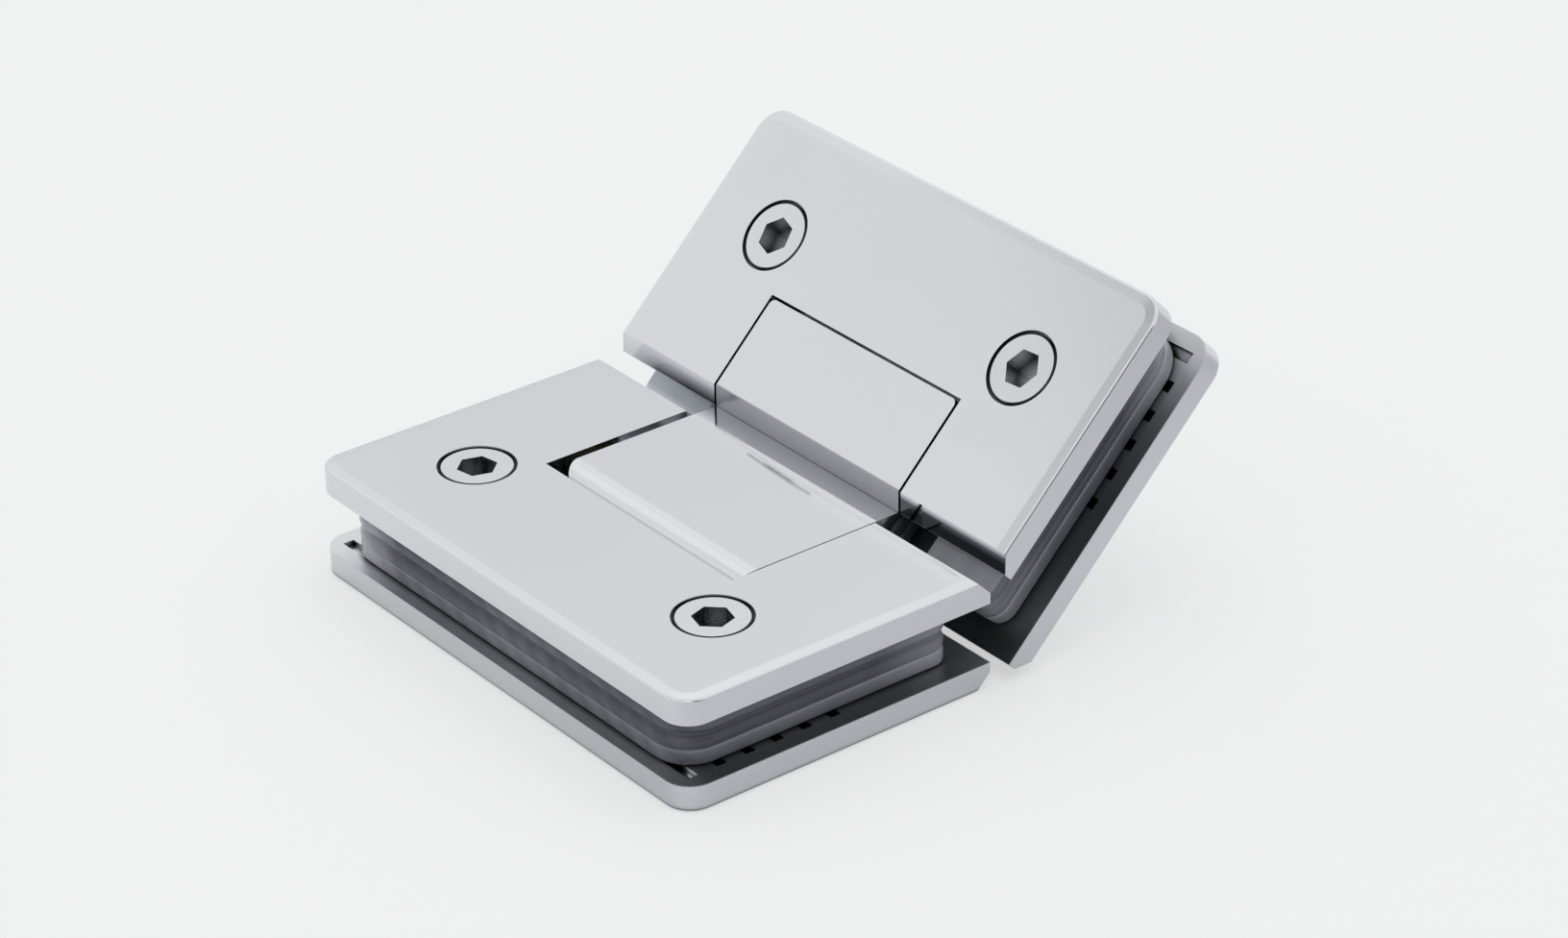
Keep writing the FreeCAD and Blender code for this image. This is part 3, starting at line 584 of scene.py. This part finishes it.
def pad_points(name, turn, layer):
    """Points and faces of a pad that lies flat."""
    loops, low, high = cut_loops(name, turn)
    low += PAD_SLACK
    high -= PAD_SLACK
    outer = stepped(loops[0])
    ways = outward(outer)
    rows = rim_profile(low, high, *ROUNDS[LAYERS[layer]])
    points = []
    for inset, height in rows:
        bulge = BULGE * math.sin(math.pi * (height - low) / (high - low))
        for point, way in zip(outer, ways):
            place = point + way * (bulge + wave(point, height, layer) - inset)
            points.append((place.x, place.y, height))
    faces = ring_faces(0, len(outer), len(rows))
    bottoms = [list(range(len(outer)))]
    tops = [list(range(len(points) - len(outer), len(points)))]
    for hole in loops[1:]:
        first, count = len(points), len(hole)
        points.extend((point.x, point.y, height) for height in (low, high) for point in hole)
        faces.extend(ring_faces(first, count, 2))
        bottoms.append(list(range(first, first + count)))
        tops.append(list(range(first + count, first + 2 * count)))
    return points, faces + cap_faces(points, bottoms, tops)


def pad_mesh(name, turn, layer):
    """The finished mesh, turned to its place on the leaf, with its normals outward."""
    points, faces = pad_points(name, turn, layer)
    mesh = bpy.data.meshes.new(name + "_soft")
    mesh.from_pydata(points, [], faces)
    mesh.transform(turn)
    shell = bmesh.new()
    shell.from_mesh(mesh)
    bmesh.ops.recalc_face_normals(shell, faces=shell.faces)
    shell.to_mesh(mesh)
    shell.free()
    mesh.shade_smooth()
    mesh.set_sharp_from_angle(angle=SHARP_ANGLE)
    return mesh


# %% [markdown]
# ## Clear plastic, dark in the stack
#
# The plastic is clear with a blue-grey cast. Deep between two mirrors it looks nearly black,
# and it is pale only at the ends of a leaf, where light comes in from two sides. The plates'
# inner faces are ribbed every 5 mm, and the ribs show through the clear rim as darker bands.
# Light that runs inside the plastic leaves at its sharp upper and lower rims, which are pale,
# and at the far hinge-side end of the fixed leaf, which glows faintly. True glass would need
# many bounces to show this, so this light and shade is painted by place instead: painted shade
# deep in the stack, painted light at the ends and rims, a lighter or darker painted tone for
# each layer, and a painted glow, given as emission.

# %% Pad finish
PAD_SHADE = (0.075, 0.083, 0.10, 1.0)
PAD_GLOW = (0.34, 0.35, 0.37, 1.0)
PAD_LIGHT = (0.72, 0.76, 0.80, 1.0)
BLACK = (0.0, 0.0, 0.0, 1.0)
LAYER_LIGHTING = {"back_gasket": 0.10, "back_spacer": 0.0, "front_spacer": 0.02, "front_gasket": 0.08}
NEAR_SHARE = {"door": 0.28, "fixed": 0.12}
OTHER_SHARE = 0.75
RIB_PITCH = 0.005
RIB_TONE = 0.03
LIT_REACH = 0.014
RIM_LIGHT = 0.0003
RIM_LIGHT_TONE = 0.4
DRIFT_SCALE = 60.0


def lit_ends(finish, leaf, x, out, low, high):
    """How much painted light a pad gets by its place: most at the hinge, and at one other end."""
    far_end = finish.span(x, high.x, low.x, NEAR_SHARE[leaf], 1.0)
    if leaf == "door":
        hinge_end = finish.span(out, high.y - LIT_REACH, high.y)
        other_end = finish.span(x, low.x + LIT_REACH, low.x)
    else:
        hinge_end = finish.span(out, low.y + LIT_REACH, low.y)
        other_end = finish.span(out, high.y - LIT_REACH, high.y, 0.0, 0.6)
    return hinge_end * far_end + other_end * OTHER_SHARE


def pad_finish(leaf, layer):
    finish = Finish("%s_%s_plastic" % (leaf, layer), IOR=1.45, Transmission_Weight=0.15,
                    Emission_Strength=1.0, Emission_Color=BLACK)
    low, high = flat_box("%s_%s" % (leaf, layer), leaf)
    x, out, level = flat_axes(finish, leaf)
    ribs = ((x + level) * (2 * math.pi / RIB_PITCH)).sine()
    drift = finish.span(finish.noise(DRIFT_SCALE, 1.0), 0.3, 0.7, -0.04, 0.05)
    lower_rim = finish.span(level, low.z + RIM_LIGHT, low.z)
    upper_rim = finish.span(level, high.z - RIM_LIGHT, high.z)
    # Painted glow: emission where light comes through the far hinge-side end of the fixed leaf.
    if leaf == "fixed":
        lit = finish.span(out, low.y + 0.003, low.y + 0.0005) * finish.span(x, -0.018, -0.036)
        finish.set("Emission Color", finish.blend(lit, BLACK, PAD_GLOW))
    # Painted light and shade: pale at the ends and rims, a tone per layer, near black deep in the
    # stack.
    pad_lighting = lit_ends(finish, leaf, x, out, low, high) + drift + ribs * RIB_TONE
    pad_lighting = pad_lighting + (lower_rim + upper_rim) * RIM_LIGHT_TONE + LAYER_LIGHTING[layer]
    pad_lighting = finish.span(pad_lighting, 0.0, 1.0)
    finish.set("Base Color", finish.blend(pad_lighting, PAD_SHADE, PAD_LIGHT))
    finish.set("Roughness", finish.noise(DRIFT_SCALE, 1.0) * 0.06 + 0.12)
    return finish


# %% Put the pads in place
for leaf, turn in LEAF_TURN.items():
    for layer, layer_name in enumerate(LAYERS):
        node_name = "%s_%s" % (leaf, layer_name)
        mesh = pad_mesh(node_name, turn, layer)
        mesh.materials.append(pad_finish(leaf, layer_name).material)
        piece = bpy.data.objects.new(node_name + "_soft", mesh)
        bpy.context.scene.collection.objects.link(piece)
        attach(piece, leaf + "_leaf")
        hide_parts(node_name)
        print(piece.name, len(mesh.polygons), "faces")

# %% [markdown]
# ## The pieces inside
#
# Nobody sees the pivot until the hinge is taken apart, but each piece still has the finish
# of its making: ground steel for the pin, plungers and springs, plated blocks that carry the
# pin, turned brass for the bushes, and moulded plastic for the sleeves. Each is one even
# colour with a fine or coarse noise in its roughness, as its tool leaves it.

# %% Inner finishes
STEEL = (0.76, 0.77, 0.78, 1.0)
NICKEL = (0.60, 0.59, 0.57, 1.0)
BRASS = (0.72, 0.53, 0.26, 1.0)
NYLON = (0.85, 0.84, 0.80, 1.0)


def inner_finish(name, grain, detail, drift, rough, names, **values):
    """Dresses pieces in one colour, with a roughness that drifts up from a base value."""
    finish = Finish(name, **values)
    finish.set("Roughness", finish.noise(grain, detail) * drift + rough)
    finish.dress(*names)


moving = ["detent_%s_%s" % (piece, side)
          for piece in ("plunger", "spring", "grub") for side in SIDES]
inner_finish("ground_steel", 900.0, 3.0, 0.25, 0.2, ["pivot_pin"] + moving,
             Base_Color=STEEL, Metallic=1.0)
inner_finish("nickel_plated_blocks", 700.0, 3.0, 0.2, 0.15,
             ["pin_block_" + side for side in SIDES], Base_Color=NICKEL, Metallic=1.0)
inner_finish("turned_brass", 700.0, 3.0, 0.3, 0.2,
             ["pin_bush_" + side for side in SIDES], Base_Color=BRASS, Metallic=1.0)
inner_finish("natural_nylon", 500.0, 2.0, 0.2, 0.35,
             ["%s_sleeve_%s" % (leaf, side) for leaf in LEAF_TURN for side in SIDES],
             Base_Color=NYLON, Subsurface_Weight=0.2)

# %% [markdown]
# ## The studio
#
# The hinge lies on a wide pale floor in a pale room. A polished face is a mirror: its colour is
# that of whatever it reflects towards the camera. The front faces reflect the room behind the
# hinge, and the edges reflect the floor. So the room gives the faces their even silver, and
# its brightness drifts a little, which shows on a flat mirror as soft clouds.
# Rounded edges and sloping borders sweep over other parts of the room. Windows, a dim wall, a
# doorway and a cupboard are painted there as round patches, and show as fine lines of light
# and shade along those edges. A patch needs no mesh: the dot product of the direction of a
# ray and the direction of the patch's middle says how near to it the ray goes.

# %% Room
ROOM_PALE = (0.82, 0.83, 0.845, 1.0)
ROOM_DIM = (0.72, 0.73, 0.75, 1.0)
CLOUD_SCALE = 2.6
PATCH_BLUE = 1.02

# azimuth, height, radius and soft edge in degrees, then brightness
PATCHES = {
    "window behind": (143, 46, 6, 9, 0.94),
    "window to the left": (-174, 49, 8, 14, 0.90),
    "window to the right": (66, 56, 8, 10, 0.95),
    "window over the camera": (-40, 31, 8, 4, 1.15),
    "dim wall": (-141, 50, 5, 10, 0.45),
    "doorway": (2, 1, 14, 8, 0.06),
    "cupboard": (-15, 18, 8, 6, 0.08),
}

world = bpy.data.worlds.new("studio_room")
world.use_nodes = True
bpy.context.scene.world = world
room = Nodes(world.node_tree)
direction = room.add("TexCoord", out="Generated")


def patch(azimuth, height, radius, edge):
    """A round patch of the room, 1 in its middle. All four are angles in degrees."""
    azimuth, height = math.radians(azimuth), math.radians(height)
    level = math.cos(height)
    axis = (level * math.cos(azimuth), level * math.sin(azimuth), math.sin(height))
    values = {0: direction, 1: axis}
    nearness = room.add("VectorMath", {"operation": "DOT_PRODUCT"}, values, out="Value")
    outside = math.cos(math.radians(radius + edge))
    return room.span(nearness, outside, math.cos(math.radians(radius)))


clouds = room.span(room.noise(CLOUD_SCALE, 1.0, direction), 0.35, 0.65)
view = room.blend(clouds, ROOM_DIM, ROOM_PALE)
for azimuth, height, radius, edge, light in PATCHES.values():
    paint = (light, light, light * PATCH_BLUE, 1.0)
    view = room.blend(patch(azimuth, height, radius, edge), view, paint)
room.plug(world.node_tree.nodes["Background"].inputs["Color"], view)
print("room with", ", ".join(PATCHES))

# %% [markdown]
# ## Two floors in one place
#
# A product photograph on white has hardly a shadow, yet the polished edges still mirror a
# darker floor around the hinge. Blender lets each object choose which rays see it. One floor
# is seen by the camera and glows a little, which keeps its shadow faint. The other is seen
# only in mirrors, and is plain card that takes the full shadow and darkens to one side.

# %% Floors
FLOOR_SIZE = 6.0
FLOOR_PAPER = (0.34, 0.34, 0.34, 1.0)
FLOOR_GLOW = 0.54
WHITE = (1.0, 1.0, 1.0, 1.0)
FLOOR_ROUGH = 0.9
MIRROR_PALE = (0.80, 0.80, 0.81, 1.0)
MIRROR_SHADE = (0.52, 0.53, 0.55, 1.0)
MIRROR_SHADE_FROM = 0.12
MIRROR_LIFT = 0.00004


def floor_plane(name, height, finish):
    half = FLOOR_SIZE / 2
    corners = [(x * half, y * half, height) for x, y in ((-1, -1), (1, -1), (1, 1), (-1, 1))]
    mesh = bpy.data.meshes.new(name)
    mesh.from_pydata(corners, [], [(0, 1, 2, 3)])
    mesh.materials.append(finish.material)
    floor = bpy.data.objects.new(name, mesh)
    bpy.context.scene.collection.objects.link(floor)
    return floor


paper = Finish("studio_paper", Base_Color=FLOOR_PAPER, Roughness=FLOOR_ROUGH,
               Emission_Strength=FLOOR_GLOW, Emission_Color=WHITE)
seen_floor = floor_plane("studio_floor", 0.0, paper)
seen_floor.visible_glossy = False
card = Finish("mirrored_paper", Roughness=FLOOR_ROUGH)
# Painted shade: the card's colour darkens towards +x, as seen in mirrors.
card_shade = card.span(card.axes()[0], 0.0, MIRROR_SHADE_FROM)
card.set("Base Color", card.blend(card_shade, MIRROR_PALE, MIRROR_SHADE))
mirrored_floor = floor_plane("mirrored_floor", MIRROR_LIFT, card)
mirrored_floor.visible_camera = False
mirrored_floor.visible_diffuse = False
mirrored_floor.visible_shadow = False
mirrored_floor.visible_transmission = False
print("floors", seen_floor.name, "and", mirrored_floor.name)

# %% [markdown]
# ## Soft light from above
#
# One wide lamp over the hinge lights the floor and the pads. A flat mirror that faces it would
# burn out to pure white in a view from above, so mirrors don't see the lamp: chrome is lit
# by the room alone.

# %% Softbox
SOFTBOX_PLACE = Vector((0.0, 0.1, 1.2))
SOFTBOX_SIZE = 0.9
SOFTBOX_POWER = 3.0

softbox_data = bpy.data.lights.new("top_softbox", "AREA")
softbox_data.shape = "RECTANGLE"
softbox_data.size = softbox_data.size_y = SOFTBOX_SIZE
softbox_data.energy = SOFTBOX_POWER
softbox = bpy.data.objects.new("top_softbox", softbox_data)
bpy.context.scene.collection.objects.link(softbox)
softbox.location = SOFTBOX_PLACE
softbox.rotation_euler = (-SOFTBOX_PLACE).to_track_quat("-Z", "Y").to_euler()
softbox.visible_glossy = False
print(softbox.name, "at", tuple(softbox.location))
